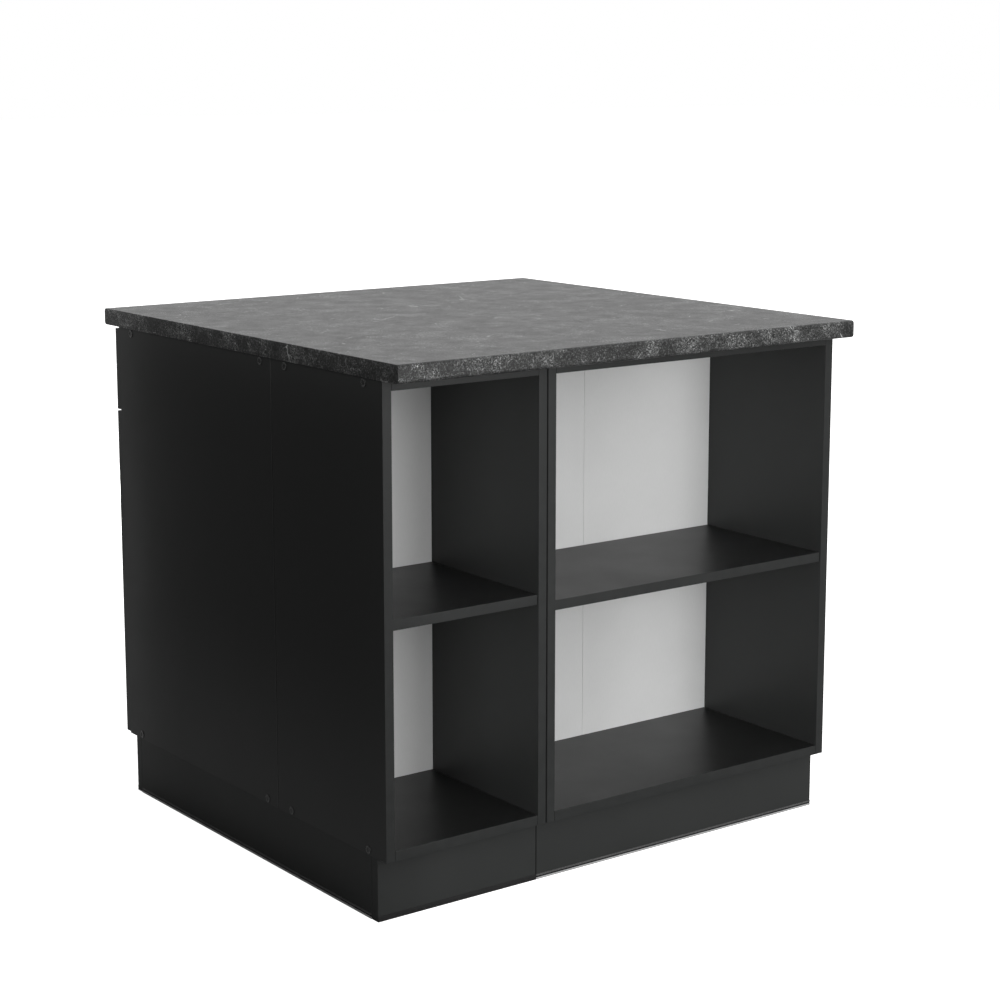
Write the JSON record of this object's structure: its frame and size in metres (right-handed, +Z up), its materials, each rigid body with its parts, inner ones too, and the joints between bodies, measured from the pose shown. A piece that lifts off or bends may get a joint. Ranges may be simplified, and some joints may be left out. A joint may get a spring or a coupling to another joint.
{
  "type": "kitchen island unit",
  "caption": "Square kitchen island: open shelf units back to back with a drawer unit and door units, on a plinth, under one worktop.",
  "frame": {"origin": "on the floor under the middle of the worktop", "axes": "+X to the right seen from the open shelf side, +Y out of the doors and the drawer, +Z up"},
  "size_m": [0.904, 0.904, 0.85],
  "materials": {
    "graphite_board": "matt graphite melamine-faced chipboard with edge band",
    "graphite_front": "matt graphite film over milled fibreboard",
    "worktop_laminate": "satin laminate with a dark clouded stone pattern and pale veins, rounded long edges",
    "hardboard_back": "light grey painted thin hardboard",
    "black_handle": "black lacquered die-cast zinc",
    "nickel_hinge": "nickel-plated pressed steel",
    "zinc_runner": "zinc-plated rolled steel",
    "plinth_board": "matt graphite board with a clip-on plastic floor seal",
    "drawer_board": "light grey melamine-faced chipboard"
  },
  "bodies": {
    "carcass": {"hinge_arm_narrow_lower": "nickel_hinge", "hinge_arm_narrow_upper": "nickel_hinge", "hinge_arm_wide_left_lower": "nickel_hinge", "hinge_arm_wide_left_upper": "nickel_hinge", "hinge_arm_wide_right_lower": "nickel_hinge", "hinge_arm_wide_right_upper": "nickel_hinge", "narrow_base_back": "hardboard_back", "narrow_base_bottom": "graphite_board", "narrow_base_shelf": "graphite_board", "narrow_base_side_left": "graphite_board", "narrow_base_side_right": "graphite_board", "narrow_base_top": "graphite_board", "open_narrow_back": "hardboard_back", "open_narrow_bottom": "graphite_board", "open_narrow_shelf": "graphite_board", "open_narrow_side_left": "graphite_board", "open_narrow_side_right": "graphite_board", "open_narrow_top": "graphite_board", "open_wide_back": "hardboard_back", "open_wide_bottom": "graphite_board", "open_wide_shelf": "graphite_board", "open_wide_side_left": "graphite_board", "open_wide_side_right": "graphite_board", "open_wide_top": "graphite_board", "plinth_door_narrow": "plinth_board", "plinth_door_wide": "plinth_board", "plinth_left": "plinth_board", "plinth_right": "plinth_board", "plinth_shelf_narrow": "plinth_board", "plinth_shelf_wide": "plinth_board", "runner_cabinet_left": "zinc_runner", "runner_cabinet_right": "zinc_runner", "wide_base_back": "hardboard_back", "wide_base_back_rail": "graphite_board", "wide_base_bottom": "graphite_board", "wide_base_front_rail": "graphite_board", "wide_base_shelf": "graphite_board", "wide_base_side_left": "graphite_board", "wide_base_side_right": "graphite_board", "worktop": "worktop_laminate"},
    "drawer": {"drawer_back": "drawer_board", "drawer_bottom": "hardboard_back", "drawer_front": "graphite_front", "drawer_side_left": "drawer_board", "drawer_side_right": "drawer_board", "handle_drawer": "black_handle", "runner_drawer_left": "zinc_runner", "runner_drawer_right": "zinc_runner"},
    "door_wide_left": {"door_wide_left": "graphite_front", "handle_wide_left": "black_handle", "hinge_cup_wide_left_lower": "nickel_hinge", "hinge_cup_wide_left_upper": "nickel_hinge"},
    "door_wide_right": {"door_wide_right": "graphite_front", "handle_wide_right": "black_handle", "hinge_cup_wide_right_lower": "nickel_hinge", "hinge_cup_wide_right_upper": "nickel_hinge"},
    "door_narrow": {"door_narrow": "graphite_front", "handle_narrow": "black_handle", "hinge_cup_narrow_lower": "nickel_hinge", "hinge_cup_narrow_upper": "nickel_hinge"}
  },
  "joints": [
    {"name": "drawer_slide", "type": "slide", "parent": "carcass", "child": "drawer", "axis": [0, 1, 0], "range_m": [0, 0.33]},
    {"name": "door_wide_left_hinge", "type": "hinge", "parent": "carcass", "child": "door_wide_left", "pos_m": [-0.4445, 0.416, 0.388], "axis": [0, 0, 1], "range_deg": [0, 95]},
    {"name": "door_wide_right_hinge", "type": "hinge", "parent": "carcass", "child": "door_wide_right", "pos_m": [0.1445, 0.416, 0.388], "axis": [0, 0, -1], "range_deg": [0, 95]},
    {"name": "door_narrow_hinge", "type": "hinge", "parent": "carcass", "child": "door_narrow", "pos_m": [0.4445, 0.416, 0.46], "axis": [0, 0, -1], "range_deg": [0, 95]}
  ]
}
